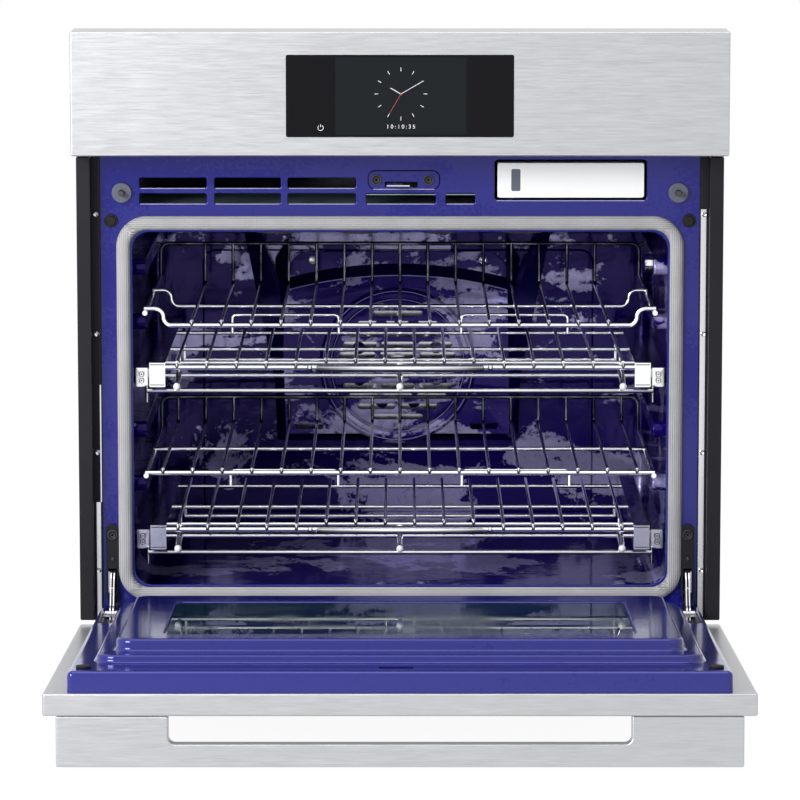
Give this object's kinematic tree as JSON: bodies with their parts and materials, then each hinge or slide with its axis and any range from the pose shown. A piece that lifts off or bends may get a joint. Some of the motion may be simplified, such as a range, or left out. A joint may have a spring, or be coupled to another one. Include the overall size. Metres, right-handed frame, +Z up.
{
  "type": "built-in wall oven",
  "caption": "Built-in electric steam and convection wall oven with a drop-down door, sliding and gliding racks, a touch display and a pull-out water tank.",
  "frame": {"origin": "front edge of the base's underside on the centre plane; Y = 0 is the cabinet face that the side flanges rest on", "axes": "+Z up, +Y back into the cabinet, +X to the right seen from the front"},
  "size_m": [0.756, 1.1629, 0.751],
  "materials": {
    "galvanised": "matt zinc-coated sheet",
    "stainless": "fine horizontal brushing",
    "blue_enamel": "glossy speckled vitreous enamel",
    "black_paint": "satin black coat",
    "black_rubber": "matt",
    "display_glass": "gloss, lit display behind",
    "door_glass": "tinted, gloss",
    "clear_glass": "gloss",
    "electronics": "solder-masked boards",
    "dark_plastic": "moulded",
    "grey_plastic": "moulded",
    "white_plastic": "moulded, satin gloss",
    "mineral_wool": "loose fibre blanket",
    "gasket_weave": "knitted glass-fibre sleeve",
    "chrome_wire": "polished plating",
    "zinc_steel": "zinc-plated",
    "heater_sheath": "heat-darkened",
    "lamp_ceramic": "unglazed",
    "motor_paint": "satin",
    "fan_steel": "mill finish",
    "tank_plastic": "translucent"
  },
  "bodies": {
    "chassis": {"chassis_base": "galvanised", "chassis_sides": "galvanised", "chassis_back": "galvanised", "chassis_top": "galvanised", "front_frame": "blue_enamel", "side_trims": "black_paint", "control_fascia": "stainless", "touchscreen_glass": "display_glass", "display_module": "dark_plastic", "control_boards": "electronics", "terminal_box": "galvanised", "cavity_liner": "blue_enamel", "insulation_wrap": "mineral_wool", "gasket": "gasket_weave", "fan_baffle": "blue_enamel", "fan_motor": "motor_paint", "convection_element": "heater_sheath", "broil_element": "heater_sheath", "bake_element": "heater_sheath", "lamps": "lamp_ceramic", "lamp_lenses": "clear_glass", "temperature_sensor": "zinc_steel", "probe_jack": "chrome_wire", "glide_bases": "chrome_wire", "hinge_receivers": "galvanised", "hinge_covers": "black_paint", "hinge_arms": "zinc_steel", "latch_plate": "blue_enamel", "latch_motor": "motor_paint", "switch_housings": "grey_plastic", "frame_bumpers": "black_rubber", "cooling_blower": "motor_paint", "air_duct": "galvanised", "tank_bay": "dark_plastic", "steam_generator": "zinc_steel", "frame_screws": "zinc_steel"},
    "door": {"door_shell": "stainless", "door_outer_glass": "door_glass", "door_middle_glass": "clear_glass", "door_inner_glass": "clear_glass", "door_liner": "blue_enamel", "door_core": "mineral_wool", "door_handle": "stainless", "hinge_channels": "zinc_steel", "door_bumpers": "black_rubber"},
    "rack_upper_body": {"rack_upper": "chrome_wire"},
    "rack_lower_body": {"rack_lower": "chrome_wire"},
    "glide_upper": {"glide_rack_upper": "chrome_wire"},
    "links_upper": {"glide_links_upper": "zinc_steel"},
    "glide_lower": {"glide_rack_lower": "chrome_wire"},
    "links_lower": {"glide_links_lower": "zinc_steel"},
    "fan": {"convection_fan": "fan_steel"},
    "blower": {"blower_wheel": "fan_steel"},
    "tank": {"water_tank": "tank_plastic", "tank_front": "white_plastic"},
    "latch": {"latch_hook": "zinc_steel"},
    "plunger_left_body": {"plunger_left": "dark_plastic"},
    "plunger_right_body": {"plunger_right": "dark_plastic"},
    "lock_left": {"hinge_lock_left": "zinc_steel"},
    "lock_right": {"hinge_lock_right": "zinc_steel"}
  },
  "joints": [
    {"name": "door_hinge", "type": "hinge", "parent": "chassis", "child": "door", "pos_m": [0, -0.0233, 0.0669], "axis": [-1, 0, 0], "range_deg": [0, 86.5]},
    {"name": "rack_upper_slide", "type": "slide", "parent": "chassis", "child": "rack_upper_body", "axis": [0, 1, 0], "range_m": [-0.28, 0]},
    {"name": "rack_lower_slide", "type": "slide", "parent": "chassis", "child": "rack_lower_body", "axis": [0, 1, 0], "range_m": [-0.28, 0]},
    {"name": "glide_upper_slide", "type": "slide", "parent": "chassis", "child": "glide_upper", "axis": [0, 1, 0], "range_m": [-0.3, 0]},
    {"name": "links_upper_slide", "type": "slide", "parent": "chassis", "child": "links_upper", "axis": [0, 1, 0], "range_m": [-0.15, 0]},
    {"name": "glide_lower_slide", "type": "slide", "parent": "chassis", "child": "glide_lower", "axis": [0, 1, 0], "range_m": [-0.3, 0]},
    {"name": "links_lower_slide", "type": "slide", "parent": "chassis", "child": "links_lower", "axis": [0, 1, 0], "range_m": [-0.15, 0]},
    {"name": "fan_spin", "type": "hinge", "parent": "chassis", "child": "fan", "pos_m": [-0.003, 0.46, 0.2974], "axis": [0, 1, 0], "continuous": true},
    {"name": "blower_spin", "type": "hinge", "parent": "chassis", "child": "blower", "pos_m": [-0.18, 0.4655, 0.57], "axis": [0, 0, 1], "continuous": true},
    {"name": "tank_slide", "type": "slide", "parent": "chassis", "child": "tank", "axis": [0, 1, 0], "range_m": [-0.2, 0]},
    {"name": "latch_swing", "type": "hinge", "parent": "chassis", "child": "latch", "pos_m": [-0.006, 0.034, 0.5708], "axis": [0, 0, 1], "range_deg": [0, 9]},
    {"name": "plunger_left_press", "type": "slide", "parent": "chassis", "child": "plunger_left_body", "axis": [0, 1, 0], "range_m": [0, 0.004], "stiffness_N_per_m": 200, "springref_m": -0.004},
    {"name": "plunger_right_press", "type": "slide", "parent": "chassis", "child": "plunger_right_body", "axis": [0, 1, 0], "range_m": [0, 0.004], "stiffness_N_per_m": 200, "springref_m": -0.004},
    {"name": "lock_left_flip", "type": "hinge", "parent": "chassis", "child": "lock_left", "pos_m": [-0.3414, -0.008, 0.0939], "axis": [-1, 0, 0], "range_deg": [-100, 0]},
    {"name": "lock_right_flip", "type": "hinge", "parent": "chassis", "child": "lock_right", "pos_m": [0.3414, -0.008, 0.0939], "axis": [-1, 0, 0], "range_deg": [-100, 0]}
  ],
  "couplings": [
    {"joint": "links_upper_slide", "follows": "glide_upper_slide", "ratio": 0.5},
    {"joint": "links_lower_slide", "follows": "glide_lower_slide", "ratio": 0.5}
  ]
}
